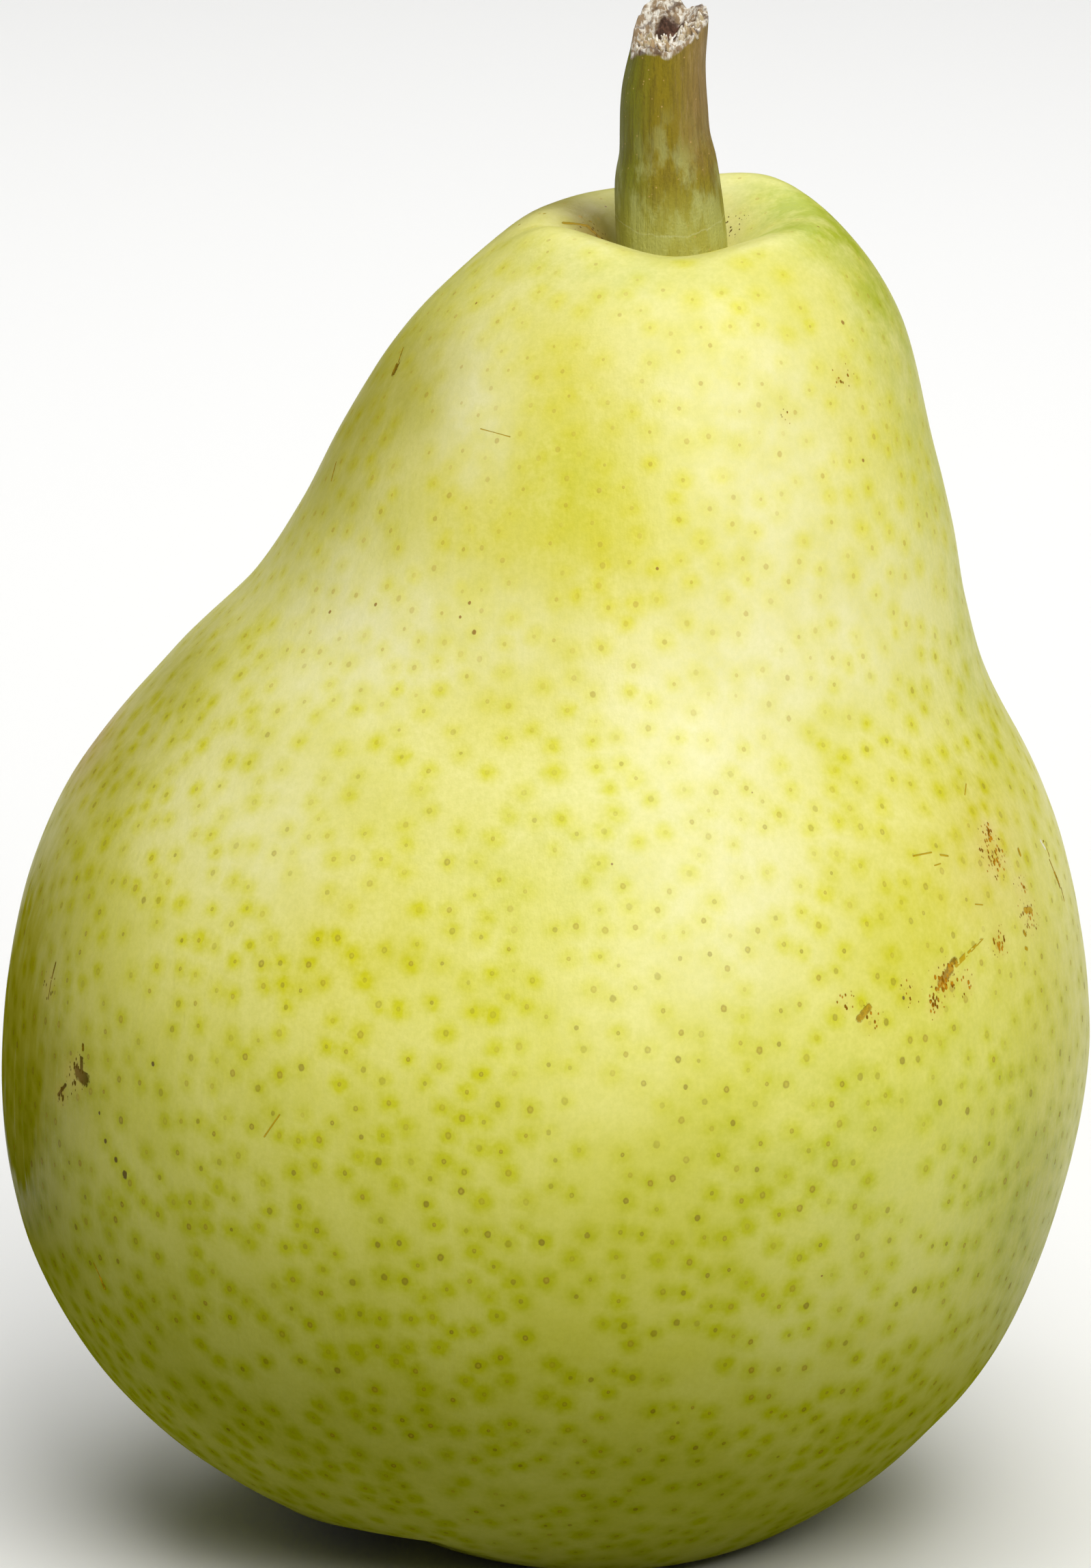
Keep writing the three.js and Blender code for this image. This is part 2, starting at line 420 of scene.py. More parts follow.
def paintSpots(piece, surface):
    v = spotValues
    random = np.random.default_rng(v["seed"])
    centres = faceCentres(piece)
    pits = [onSkin(surface, at) for at, size in v["pits"]]
    areas = valuesOf(piece.data.polygons, "area", 1) / mm**2
    spots = scatterSpots(centres, areas, pits, random)
    total, height = len(spots), spots[:, 2]
    radius = np.interp(height, v["heights"], v["radius"]) * random.uniform(*v["radiusRange"], total)
    kind = random.uniform(*v["kindRange"], total)
    tone = random.uniform(*v["toneRange"], total) * fade(*v["toneFade"], height)
    halo = np.interp(height, v["heights"], v["halo"]) * random.uniform(*v["haloRange"], total)
    driftSize, driftSeed, driftDepth = v["haloDrift"]
    halo *= 1 + noiseAt(spots, driftSize, driftSeed) * driftDepth + fade(*v["haloLeft"], spots[:, 0])
    halo = np.clip(halo, 0, v["haloLimit"])
    reach = random.uniform(*v["reachRange"], total) * fade(*v["reachFade"], height)
    for k, (at, size) in enumerate(v["pits"]):
        radius[k], kind[k], tone[k] = size, 1, v["pitTone"]

    # every face knows its nearest spot, and the shader draws the spot round that place
    spotFinder = finderOf(spots)
    nearest = [spotFinder.find(place)[1] for place in centres]
    giveNearest(piece, nearest, {
        "spotPlace": spots * mm, "spotRadius": radius * mm, "spotKind": kind, "spotTone": tone,
        "spotHalo": halo, "spotReach": reach * mm,
    })

    # how green the halos of all the spots near it make each vertex
    places = placesOf(piece)
    placeFinder = finderOf(places)
    plain = np.ones(len(places))
    for place, strength, wide in zip(spots, halo, reach):
        near = placeFinder.find_range(place, wide)
        index = [found[1] for found in near]
        away = np.array([found[2] for found in near])
        plain[index] *= 1 - np.minimum(strength * smoothStep(1, 0, away / wide), 1)
    giveAttribute(piece, "glow", "POINT", 1 - plain)
    print("lenticels:", total)


# patches of colour, some of them partly painted shade or painted highlight: x, y, z of the middle, how far
# each spreads, and how strong it is
patchValues = {
    "yellow": [
        ((-3.6, -16, 77), (6, 9, 5), 0.8), ((-0.6, -18, 73), (5.5, 8, 5), 0.9),
        ((14.6, -15, 68), (4, 6, 3.5), 0.5), ((20, 27, 34), (9, 8, 8), 0.6),
        ((-14, 29, 27), (9, 9, 8), 0.55), ((33, 9, 29), (6, 9, 8), 0.45), ((-5, 20, 64), (9, 8, 7), 0.6),
        ((-28, 16, 46), (7, 8, 6), 0.45), ((20, 8, 66), (6, 7, 6), 0.5), ((28, -12, 56), (3, 8, 5), 0.5),
        ((-5, -23, 61.5), (5.5, 9, 4), 0.65), ((-15.8, -29.5, 47.5), (5, 8, 6), 0.65),
        ((29, -17, 27), (5, 9, 9), 0.55), ((-32.5, -19, 35.5), (4, 7, 5), 0.5),
        ((30, -15, 40), (4, 8, 8), 0.5), ((22, -25, 43), (5, 8, 5), 0.4),
        ((-0.5, -14, 82), (4, 7, 3.5), 0.7), ((-7, -16, 73), (5, 8, 4), 0.6),
        ((17.2, -11.3, 78), (3.5, 5, 5), 0.3), ((2, -20, 68), (7, 9, 5), 0.3),
        ((23, -21, 50), (6, 9, 7), 0.5), ((-27, -18, 50), (6, 9, 5), 0.1), ((16, -31, 37), (8, 8, 7), 0.3),
    ],
    "green": [
        ((-12, 8, 84), (8, 8, 5), 0.4), ((20, 14, 60), (14, 10, 22), 0.35),
        ((-30, 12, 30), (12, 12, 20), 0.4), ((24, -22, 36), (9, 12, 9), 0.25),
        ((28.5, -18, 27), (5, 9, 8), 0.55), ((2, -10, 87.3), (8, 5, 1.8), 0.45),
        ((-1, -18, 75), (4, 7, 4), 0.3), ((14, -29, 34), (8, 9, 7), 0.45),
        ((5, 30, 30), (20, 12, 18), 0.35), ((33, -6, 20), (7, 12, 8), 0.2),
        ((-1, -29, 54), (9, 9, 6), 0.25),
    ],
    # pale cream patches: partly paler skin, and on the front partly painted highlight
    "pale": [
        ((-7, -14, 79), (3, 7, 6), 0.85), ((4.5, -15, 82), (5.5, 8, 6), 0.3),
        ((-8, -14, 79), (5, 8, 4), 0.2), ((-24, -19, 53), (6, 9, 5), 0.45),
        ((-19, -24, 52), (5, 8, 5), 0.5), ((9, -29, 50), (6.5, 9, 7.5), 0.95),
        ((12, -18, 68), (6, 8, 9), 0.5), ((8, -24, 60.5), (6, 9, 5), 0.7),
        ((-14.5, -19, 62), (5, 8, 5), 0.3), ((12, -17, 76), (5, 8, 7), 0.48),
        ((11.4, -15, 81), (4.5, 7, 4.5), 0.45), ((20, -14, 65), (5, 8, 6), 0.35),
        ((12.5, -30, 20), (5, 8, 4), 0.4), ((-7, -20, 66), (6, 8, 4), 0.4),
        ((0, -22, 64), (25, 14, 5), 0.3), ((21, -26, 25), (9, 10, 8), 0.6),
        ((-17, -14, 65), (6, 9, 6), 0.55), ((18, -16, 66), (6, 9, 6), 0.2),
        ((-2, -34, 43), (8, 9, 6), 0.15), ((9.5, 4, 87.5), (3, 4, 3), 0.6), ((-3, -17, 86), (8, 6, 2), 0.5),
        ((2, 20, 77), (10, 10, 7), 0.5), ((29, 13, 46), (7, 9, 7), 0.7), ((6, 32, 46), (10, 8, 6), 0.75),
        ((-22, 25, 38), (9, 9, 7), 0.65), ((3, 33, 24), (10, 8, 5), 0.5), ((-31, 12, 30), (6, 9, 7), 0.5),
        ((17, 15, 61), (8, 8, 5), 0.6),
    ],
    "lime": [
        ((17, 0, 88.5), (5, 7, 3), 1), ((20.5, -3, 84), (3.5, 7, 5), 0.75),
        ((23, -4, 76), (2.5, 8, 9), 0.35), ((26, -5, 64), (2.5, 9, 12), 0.4),
        ((11, -3.5, 88.2), (4, 1.2, 0.8), 0.5), ((13, 3, 89), (4, 5, 2), 0.5),
    ],
    # olive along the edges: partly the skin's olive colour, partly painted shade
    "oliveAndShade": [
        ((-38, -7, 41), (7, 12, 14), 1), ((-35.5, -7, 28), (5.5, 11, 9), 0.8),
        ((-18, -4, 78), (8, 9, 9), 1), ((-28, -4, 60), (5, 8, 6), 0.7),
        ((-30.5, -8, 53.5), (3.5, 7, 3.5), 0.4), ((34, -6, 44), (1.5, 8, 16), 0.4),
        ((31, -16, 26), (5, 9, 8), 0.38), ((32, -13, 38), (3.5, 8, 8), 0.2),
        ((-33, -18, 35), (4, 7, 4), 0.25), ((-11, -9, 80), (3.5, 6, 4), 0.35),
    ],
    # painted shade in the stem's hollow
    "hollowShade": [((1.2, 0.5, 87), (2.3, 4, 2.6), 1), ((-2, 4, 88.5), (4.5, 4, 3), 0.75)],
    "blush": [
        ((26.5, -16, 49.5), (3.5, 7, 5), 0.3), ((-32.5, 3, 52.5), (3.5, 7, 3.2), 1),
        ((-31, 14, 50), (5, 7, 6), 0.6),
    ],
}


def paintPatches(piece):
    v = skinValues
    places = placesOf(piece)
    for name, patches in patchValues.items():
        total = np.zeros(len(places))
        for at, spread, strength in patches:
            far = np.linalg.norm((places - at) / spread, axis=1)
            total += strength * np.exp(-far * far)
        giveAttribute(piece, name, "POINT", np.minimum(total, 1))
    # low: painted shade, darker towards the floor and a little higher on the left
    giveAttribute(piece, "low", "POINT", smoothStep(*v["lowShadeHeights"], places @ (v["lowShadeTilt"], 0, 1)))
    print("patches:", sum(len(patches) for patches in patchValues.values()))


# russet marks on the skin
markValues = {
    # both ends as x, z from the front or as x, y, z, then the width and how dark the stroke is:
    # whitish at -0.8, tan at 0, brown at 1 and darkest at 1.5; the darkest, on the left edge and the left
    # of the neck, are partly painted shade
    "strokes": [
        ((-32.7, 35.7), (-32.3, 35.4), 1.0, 1.5), ((-32.5, 36.7), (-32.5, 35.9), 0.34, 1.5),
        ((-32.4, 37.5), (-32.4, 37.2), 0.24, 1.3), ((-34.1, 33.5), (-33.6, 34.4), 0.24, 1.5),
        ((-34.3, 41.6), (-34.6, 40.4), 0.16, 1.3), ((-34.6, 40.4), (-34.8, 39.2), 0.1, 1.3),
        ((-31.8, 22.8), (-31.4, 22), 0.12, 0.7), ((-31.4, 22), (-31.1, 21.2), 0.2, 0.9),
        ((-19.4, 36.4), (-20.4, 34.8), 0.1, 0.1), ((-11.9, 79.6), (-12.2, 79), 0.5, 1.2),
        ((-11.6, 80.3), (-11.9, 79.6), 0.12, 1), ((-16, 72.9), (-16.3, 71.9), 0.14, 0.6),
        ((30.2, 48.2), (30.5, 47.6), 0.22, -0.8), ((30.4, 48), (30.75, 47.1), 0.28, 0.8),
        ((30.8, 46.8), (31.1, 46), 0.18, 0.6), ((31.1, 46), (31.5, 44.9), 0.34, 1),
        ((31.6, 44.7), (31.8, 43.9), 0.18, 0.8), ((26.1, 44.8), (25, 44.1), 0.08, 0.05),
        ((26, 44.8), (25.1, 44.3), 0.16, 0), ((25.1, 44.3), (24.3, 43.8), 0.34, 0),
        ((24.2, 44), (23.3, 43), 0.6, 1), ((18.5, 42.6), (17.9, 42), 0.45, 0.6),
        ((21.5, 50.9), (22.7, 50.8), 0.1, 0.1), ((23.3, 50.5), (23.8, 50.3), 0.12, 0.1),
        ((22.9, 50), (23.3, 50), 0.08, 0.1), ((25.6, 47), (26.1, 46.8), 0.08, 0.1),
        ((29, 45.3), (29.4, 45.1), 0.42, 0.3), ((28.9, 44.1), (29, 43.9), 0.28, 0.7),
        ((29, 43.1), (29.1, 43), 0.24, 0.2), ((28.6, 48.8), (28.7, 48.5), 0.3, 0.4),
        ((25.1, 53.7), (25, 53.2), 0.1, 0.1), ((-6.5, 77.6), (-4.6, 77.4), 0.07, 0),
        ((-4, 0.8, 87.6), (-1.1, 0.4, 87.9), 0.12, 0.4), ((-1.1, 0.4, 87.9), (0.4, 1.2, 87.4), 0.24, 0.55),
        ((0.4, 1.2, 87.4), (1.6, 0.8, 86.8), 0.35, 0.65), ((-2.4, 1.3, 87.9), (0.6, 2, 87.5), 0.1, 0.4),
    ],
    "flecks": [  # clusters of small flecks: place, reach and strength
        ((26.6, 50.6), 1.2, 1), ((26.8, 49.4), 2.4, 0.85), ((28.8, 46.6), 1.8, 0.5), ((29.2, 45), 2.3, 0.5),
        ((23.6, 43), 1.9, 0.95), ((22.9, 41.7), 1.3, 0.7), ((25, 42.4), 1.4, 0.6), ((21.3, 43), 1.5, 0.45),
        ((17, 43.1), 1.2, 0.4), ((27.2, 44.2), 1.5, 0.7), ((-33, 35.4), 2, 0.7), ((-33.9, 33.6), 1.2, 0.7),
        ((18.6, 41.8), 1.4, 0.5), ((17, 80.4), 1.5, 0.42), ((8.9, 3.2, 86.7), 1, 0.6),
        ((9.9, 3, 87.2), 2, 0.35), ((1.2, 0.5, 87.2), 2, 0.6), ((-34.8, 40), 1.6, 0.5),
        ((13.2, 78.6), 0.8, 0.3),
    ],
    "layers": {"brown": ((0.25, 3), (0.4, 0.6)), "rust": ((0.5, 2), (0.4, 0.6))},
    "fleckSize": 0.24,
    "strokeCover": 0.9,
    "colours": {
        "whitish": "f3eee0", "tan": "bc9a18", "lightBrown": "b4880a", "brown": "7a5a06",
        "darkest": "40300a", "topStroke": "73602e", "fleck": "c08618", "darkFleck": "84580c",
        "shadedLeftFleck": "5e4a12", "topFleck": "75602e", "haze": "dcae62",
    },
    "topStrokeHeights": (82, 86),  # the marks near the stem are duller
    "topFleckHeights": (83, 86),
    # painted shade: the flecks are darker towards the left edge
    "shadedFleckPlaces": (-26, -30),  # and the flecks at the left edge darker
}


def nearestStroke(centres, starts, runs):
    # the stroke that lies nearest to each place
    best, chosen = np.full(len(centres), np.inf), np.zeros(len(centres), int)
    for k, (start, run) in enumerate(zip(starts, runs)):
        share = np.clip((centres - start) @ run / (run @ run), 0, 1)
        away = np.linalg.norm(centres - start - share[:, None] * run, axis=1)
        closer = away < best
        best[closer], chosen[closer] = away[closer], k
    return chosen


def paintMarks(piece, surface):
    v = markValues
    centres = faceCentres(piece)
    starts = np.array([onSkin(surface, start) for start, end, wide, dark in v["strokes"]])
    runs = np.array([onSkin(surface, end) for start, end, wide, dark in v["strokes"]]) - starts
    wide, dark = np.array([stroke[2:] for stroke in v["strokes"]]).T
    giveNearest(piece, nearestStroke(centres, starts, runs), {
        "strokeStart": starts * mm, "strokeRun": runs * mm, "strokeWide": wide, "strokeDark": dark,
    })

    middles = np.array([onSkin(surface, at) for at, reach, strength in v["flecks"]])
    reaches, strengths = np.array([cluster[1:] for cluster in v["flecks"]]).T
    away = np.linalg.norm(centres[:, None] - middles, axis=2) / reaches
    giveNearest(piece, away.argmin(axis=1), {
        "fleckPlace": middles * mm, "fleckReach": reaches * mm, "fleckThick": strengths,
    })
    print("marks:", len(starts), "strokes and", len(middles), "clusters of flecks")


def addStrokes(f, skin, height):
    # the skin's colour with the strokes on it, and how much stroke there is
    v, c = markValues, coloursOf(markValues)
    start, run = f.attribute("strokeStart", "Vector"), f.attribute("strokeRun", "Vector")
    wide, dark = f.attribute("strokeWide"), f.attribute("strokeDark")
    fromStart = f.vector("SUBTRACT", f.place, start)
    along = f.vector("DOT_PRODUCT", fromStart, run)
    share = f.math("DIVIDE", along, f.vector("DOT_PRODUCT", run, run), clamp=True)
    onLine = f.add("ShaderNodeVectorMath", {0: run, "Scale": share}, operation="SCALE").outputs["Vector"]
    away = f.math("DIVIDE", f.vector("LENGTH", f.vector("SUBTRACT", fromStart, onLine)), 0.5 * mm)
    broken = f.sway(f.noise(0.2, 4, roughness=0.75), wide)
    broken = f.times(broken, f.rangeOf(dark, 0.1, 0.5, (0.7, 1.7)))
    stroke = f.rangeOf(f.math("DIVIDE", f.plus(away, broken), wide), 1.25, 0.8)
    tan = f.mix(f.rangeOf(dark, -0.2, -0.8), c["tan"], c["whitish"])
    brown = f.mix(f.layer(v, "brown"), c["lightBrown"], c["brown"])
    # the darkest strokes are real dark russet, partly darkened as painted shade
    brown = f.mix(f.rangeOf(dark, 1, 1.5), brown, c["darkest"])
    brown = f.mix(f.span(height, v["topStrokeHeights"]), brown, c["topStroke"])
    return f.mix(f.times(stroke, v["strokeCover"]), skin, f.mix(dark, tan, brown)), stroke


def addFlecks(f, skin, place):
    # the same with the clusters of flecks, which thin out towards the rim of each
    v, c = markValues, coloursOf(markValues)
    inside = f.rangeOf(f.math("DIVIDE", f.awayFrom("fleckPlace"), f.attribute("fleckReach")), 1.05, 0.1)
    inside = f.times(inside, f.attribute("fleckThick"))
    cells = f.cells(v["fleckSize"], f.vector("MULTIPLY", f.place, (1, 1, 0.6)))
    size = f.rangeOf(cells["Color"], 0.15, 0.75, (0.15, 1))
    level = f.times(f.math("POWER", inside, 0.7), f.times(size, 0.75))
    fleck = f.rangeOf(f.math("SUBTRACT", cells["Distance"], level), 0.02, -0.1)
    rusty = f.mix(f.layer(v, "rust"), c["fleck"], c["darkFleck"])
    # painted shade on the flecks towards the left edge
    rusty = f.mix(f.span(place["X"], v["shadedFleckPlaces"]), rusty, c["shadedLeftFleck"])
    rusty = f.mix(f.span(place["Z"], v["topFleckHeights"]), rusty, c["topFleck"])
    skin = f.mix(f.times(inside, 0.25), skin, c["haze"])
    return f.mix(fleck, skin, rusty), fleck


skinValues = {
    "colours": {
        "cream": "ece796", "grassy": "e0dc71", "fine": "e0da6e", "blush": "c98a6c",
        "middle": "b29c38", "darkMiddle": "8c7028", "ring": "9c7824", "darkRing": "7a5c22",
        "pit": "553520", "highSpot": "b4802a", "pin": "7c4a24",
    },
    "patches": {  # strength and colour of each kind of patch
        # the pale patches are partly painted highlight
        "yellow": (0.82, "dcd43e"), "pale": (0.8, "f3efc0"), "green": (0.6, "b4c048"),
        "lime": (0.92, "abb814"),
    },
    "blush": 0.45,
    "layers": {
        "mottle": ((11, 4, 1, 0.6), (0.38, 0.66)),
        "fine": ((2.6, 3), (0.3, 0.7)),
        "cloud": ((3.2, 4, 1, 0.65), (0.25, 0.7), (0.35, 1.25)),
        "streaks": ((1.3, 3, 0.2), (0.3, 0.65), (0.86, 1)),
        "grain": ((0.4, 3, 1, 0.7), (0.3, 0.7), (0, 0.9)),
        "ragged": ((0.8, 3), (0.3, 0.7), (0.75, 1.1)),
        "gloss": ((0.9, 3), (0.2, 0.8), (0.34, 0.46)),
    },
    # linear tints that darken the skin: the low, low spot and hollow tints are painted shade, and the olive
    # tint is partly painted shade
    "deepTint": (0.95, 0.97, 0.54, 1),
    "lowShadeTint": (0.33, 0.345, 0.24, 1),
    "oliveAndShadeTint": (0.5, 0.48, 0.12, 1),
    "hollowShadeTint": (0.32, 0.28, 0.14, 1),
    "grainTint": (0.93, 0.94, 0.84, 1),
    "lowSpotShadeTint": (0.45, 0.4, 0.25, 1),
    "haloTint": (0.88, 0.88, 0.12, 1),
    "lowHaloTint": (0.8, 0.84, 0.05, 1),
    "highHaloTint": (0.95, 0.93, 0.2, 1),
    # heights between which a colour changes
    # painted shade that darkens the skin towards the floor
    "lowShadeHeights": (45, 9),
    "lowShadeTilt": 0.14,  # a little higher on the left
    "deepHeights": (60, 22),
    "lowHaloHeights": (52, 20),
    "highHaloHeights": (58, 70),
    "highSpotHeights": (54, 68),
    "pinSize": 2.3,  # cells, of which a few have a pin dot
    "foldDepth": 0.035,
    "poreDepth": 0.008,
    "spotRise": 0.02,
    "scarDepth": -0.04,
}


def groundColour(f, height, low):
    # the skin under its spots and marks, with its painted shade, and how olive and shaded it is
    v, c = skinValues, coloursOf(skinValues)
    skin = f.mix(f.layer(v, "mottle"), c["cream"], c["grassy"])
    skin = f.mix(f.times(f.layer(v, "fine"), 0.35), skin, c["fine"])
    cloud = f.layer(v, "cloud")
    for name, (strength, code) in v["patches"].items():
        patch = f.times(f.attribute(name), cloud, clamp=True)
        skin = f.mix(f.times(patch, strength), skin, colour(code))
    skin = f.mix(f.times(f.attribute("blush"), v["blush"]), skin, c["blush"])
    skin = f.shade(f.span(height, v["deepHeights"]), skin, v["deepTint"])
    # painted shade towards the bottom
    skin = f.shade(low, skin, v["lowShadeTint"])
    # olive streaks along the edges, partly painted shade
    oliveAndShade = f.times(f.attribute("oliveAndShade"), f.layer(v, "streaks"))
    skin = f.shade(oliveAndShade, skin, v["oliveAndShadeTint"])
    # painted shade in the stem's hollow
    skin = f.shade(f.attribute("hollowShade"), skin, v["hollowShadeTint"])
    return f.shade(f.layer(v, "grain"), skin, v["grainTint"]), oliveAndShade


def addHalos(f, skin, height):
    v = skinValues
    away = f.plus(f.awayFrom("spotPlace"), f.sway(f.noise(0.9, 1), 0.5 * mm))
    halo = f.rangeOf(f.math("DIVIDE", away, f.attribute("spotReach")), 1, 0)
    halo = f.most(f.times(halo, f.attribute("spotHalo")), f.times(f.attribute("glow"), 0.85))
    # the halos are fainter under the pale patches, which are partly painted highlight
    halo = f.times(halo, f.rangeOf(f.attribute("pale"), 0.1, 0.9, (1, 0.5)))
    halo = f.times(halo, f.layer(v, "ragged"), clamp=True)
    tint = f.mix(f.span(height, v["lowHaloHeights"]), v["haloTint"], v["lowHaloTint"])
    tint = f.mix(f.span(height, v["highHaloHeights"]), tint, v["highHaloTint"])
    return f.shade(halo, skin, tint)


def addLenticels(f, skin, height, low):
    # each is a tan ring round a paler or darker middle
    v, c = skinValues, coloursOf(skinValues)
    offset = f.vector("SUBTRACT", f.place, f.attribute("spotPlace", "Vector"))
    away = f.vector("LENGTH", f.vector("MULTIPLY", offset, (1, 1, 0.85)))
    share = f.math("DIVIDE", away, f.attribute("spotRadius"))
    share = f.plus(share, f.sway(f.noise(0.16, 1), 0.5))
    kind = f.attribute("spotKind")
    middle = f.mix(f.rangeOf(kind, 0.55, 0.7), c["middle"], c["darkMiddle"])
    ring = f.mix(f.rangeOf(kind, 0.1, 0.7), c["ring"], c["darkRing"])
    spot = f.mix(f.rangeOf(share, 0.35, 0.65), middle, ring)
    spot = f.mix(f.rangeOf(kind, 0.93, 0.97), spot, c["pit"])
    # the spots take the same painted shade low down
    spot = f.shade(low, spot, v["lowSpotShadeTint"])
    spot = f.mix(f.span(height, v["highSpotHeights"], (0, 0.6)), spot, c["highSpot"])
    cover = f.times(f.rangeOf(share, 1.25, 0.8), f.attribute("spotTone"))
    return f.mix(cover, skin, spot), cover


def addPins(f, skin):
    # sparse dark dots
    pin = f.cells(skinValues["pinSize"])
    chosen = f.rangeOf(pin["Color"], 0.8, 0.82)
    dot = f.times(f.rangeOf(pin["Distance"], 0.045, 0.02), chosen)
    return f.mix(f.times(dot, 0.8), skin, coloursOf(skinValues)["pin"])


def makeSkin():
    v = skinValues
    f = Finish("pearSkin")
    # low is the painted shade towards the bottom
    place, low = f.parts(f.place), f.attribute("low")
    height = place["Z"]
    skin, oliveAndShade = groundColour(f, height, low)
    skin = addHalos(f, skin, height)
    skin, cover = addLenticels(f, skin, height, low)
    skin = addPins(f, skin)
    skin, stroke = addStrokes(f, skin, height)
    skin, fleck = addFlecks(f, skin, place)
    marked = f.most(stroke, fleck)

    folds = f.times(f.noise(0.5, 2, 0.25), v["foldDepth"])
    pores = f.times(f.noise(0.16, 1), v["poreDepth"])
    raised, scars = f.times(cover, v["spotRise"]), f.times(marked, v["scarDepth"])
    relief = f.plus(f.plus(folds, pores), f.plus(raised, scars))
    return f.finished({
        "Base Color": skin,
        "Roughness": f.plus(f.layer(v, "gloss"), f.times(f.most(marked, cover), 0.25)),
        "Specular IOR Level": f.rangeOf(f.most(f.most(low, oliveAndShade), marked), 0, 0.9, (0.3, 0)),
        "Normal": f.bump(relief),
    })


stemValues = {
    "foot": (5.8, 0, 82.4),
    "outline": [  # radius, and height over the foot
        (3.2, 0), (3.55, 0.7), (3.6, 4.7), (3.52, 7.3), (3.34, 9.9), (2.98, 11.8), (2.87, 13.8),
        (2.74, 16.6), (2.5, 19.7),
    ],
    "rings": 170,
    "sides": 160,
    "faceRings": 34,
    "bow": [0, 0.25, 0.05, -0.2, -0.35, -0.4, 0],
    "tornEdge": [19.5, 19.9, 19.6, 20.2, 20.1, 18.6, 16.9, 17.3, 17.5, 17.5, 18.3, 19.1],
    "tornMiddle": 18.7,
    "pithDepth": 1.1,
    "ribs": [(9, 0.07), (26, 0.035), (60, 0.016)],  # count round the stem, and depth
    "lumps": [((1, 1, 0.5), 0.9, 3, 0.3), ((1, 1, 1), 0.35, 8, 0.2)],  # stretch, size, seed and depth
    "seed": 5,
    "tufts": 130,
    "tuftTurns": (0.45, 0.98),  # shares of the way round from +X
    "tuftSpread": (2.2, 1.3),  # of the beta draw of how far out they stand
    "tuftReach": 0.97,
    "tuftLength": (0.25, 1.1),
    "tuftWidth": (0.06, 0.19),
    "tuftTip": 0.35,
    "tuftSunk": 0.25,
    "colours": {
        "green": "7b7c1a", "ochre": "8c7a0e", "brown": "957a42", "leafy": "aaa638", "line": "5f4e12",
        "waxy": "bcbf7c", "foot": "c8c668", "thread": "b89c70", "cuticle": "d8d8a4", "dot": "d8b070",
        "darkWood": "9a8262", "wood": "ece6d8", "dirt": "5c4430", "pith": "402a1c", "palePith": "6b4a38",
        "tuftFoot": "b8a680", "tuft": "f2efe6", "darkTuft": "a88c64",
    },
    "layers": {
        "patch": ((1.6, 5, 0.45, 0.6), (0.44, 0.6)),
        "thread": ((0.26, 4, 0.1, 0.75), (0.53, 0.68)),
        "wood": ((0.42, 4, 0.35, 0.7), (0.42, 0.6)),
        "dirt": ((0.8, 3), (0.53, 0.64)),
        "tuft": ((0.35, 3, 0.4, 0.7), (0.4, 0.62)),
        "darkTuft": ((0.8, 2), (0.5, 0.6)),
    },
    # heights over the foot between which a colour comes in
    "brownHeights": (11, 17),
    "leafyHeights": (15, 7.5),
    "waxyHeights": (18, 9),
    "footHeights": (9.5, 5),
    "cuticleHeight": 5.5,  # in front, and higher towards the sides
    "cuticleCurve": 0.05,
    "dotSize": 0.45,
    "streakDepth": 0.18,
    "grainDepth": 0.05,
}


def tornHeight(turn, share):
    # height of the torn top over the stem's foot, and of its edge
    v = stemValues
    edge = valueAlong([*v["tornEdge"], v["tornEdge"][0]], turn)
    return v["tornMiddle"] + (edge - v["tornMiddle"]) * share - v["pithDepth"] * (1 - share) ** 2, edge


def makeStem():
    v = stemValues
    bark = evenOutline(v["outline"], v["rings"])
    topRadius, top = bark[-1]
    face = [(topRadius * share, top) for share in np.linspace(1, 0, v["faceRings"] + 1)[1:]]
    outline = np.concatenate([[(0, 0)], bark, face])
    piece = spinOutline("pearStem", outline, v["sides"])
    places = placesOf(piece)
    angle = np.arctan2(places[:, 1], places[:, 0])
    radius = np.hypot(places[:, 0], places[:, 1])
    climb = places[:, 2] / top
    share = np.minimum(radius / topRadius, 1)
    torn, edge = tornHeight((angle / (2 * pi) + 1) % 1, share)
    onTop = climb > 0.9999  # the torn face
    places[:, 2] = climb * np.where(onTop, torn, edge)

    ring = np.stack([np.cos(angle), np.sin(angle)], axis=1)
    for count, depth in v["ribs"]:
        sample = np.concatenate([ring * count / 6, places[:, 2:] * 0.05], axis=1)
        rib = noiseAt(sample, 1, count) * depth
        rib *= np.where(onTop, share**4, 1) * smoothStep(0, 4, radius + places[:, 2])
        places[:, :2] += ring * rib[:, None]
    lump = sum(noiseAt(places * stretch, size, seed) * depth for stretch, size, seed, depth in v["lumps"])
    places[:, 2] += np.where(onTop, lump, 0) + lump * smoothStep(0.93, 1, climb) * ~onTop
    places[:, 0] += valueAlong(v["bow"], climb)
    places += v["foot"]
    setPlaces(piece, places)
    giveAttribute(piece, "torn", "POINT", np.where(onTop, 1, smoothStep(0.965, 1, climb)))
    giveAttribute(piece, "pith", "POINT", np.where(onTop, 1 - share, 0))
    print("stem:", len(piece.data.polygons), "faces")
    return piece


